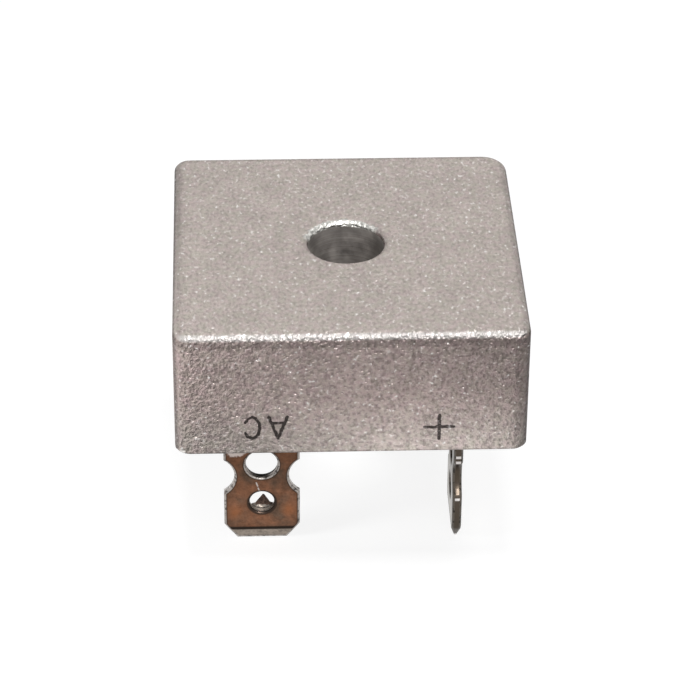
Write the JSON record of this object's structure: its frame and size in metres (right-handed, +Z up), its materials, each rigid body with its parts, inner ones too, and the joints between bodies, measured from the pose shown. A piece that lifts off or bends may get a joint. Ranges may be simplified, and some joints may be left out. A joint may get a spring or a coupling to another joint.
{
  "type": "bridge rectifier",
  "caption": "Square metal-case single-phase bridge rectifier with a central screw hole and push-on blade terminals.",
  "frame": {"origin": "on the screw hole's axis, at the height of the blade tips that it stands on", "axes": "+Z up along the screw hole towards the mounting face, -Y towards the side with the front AC and positive blades, +X towards the positive blade"},
  "size_m": [0.0286, 0.0286, 0.0235],
  "materials": {
    "blasted_aluminium": "blasted matt",
    "potting_epoxy": "semi-matt cast resin",
    "alumina": "fired ceramic",
    "copper": "bare copper",
    "silicon": "lapped silicon",
    "solder": "dull solder",
    "tinned_brass": "thin bright tin, tarnished"
  },
  "bodies": {
    "root": {"case": "blasted_aluminium", "potting": "potting_epoxy", "insulator": "alumina", "positive_plate": "copper", "negative_plate": "copper", "front_ac_strap": "copper", "back_ac_strap": "copper", "front_die": "silicon", "front_inner_solder": "solder", "front_outer_solder": "solder", "right_die": "silicon", "right_inner_solder": "solder", "right_outer_solder": "solder", "back_die": "silicon", "back_inner_solder": "solder", "back_outer_solder": "solder", "left_die": "silicon", "left_inner_solder": "solder", "left_outer_solder": "solder", "front_ac_blade": "tinned_brass", "front_ac_foot_solder": "solder", "positive_blade": "tinned_brass", "positive_foot_solder": "solder", "back_ac_blade": "tinned_brass", "back_ac_foot_solder": "solder", "negative_blade": "tinned_brass", "negative_foot_solder": "solder"}
  },
  "joints": []
}
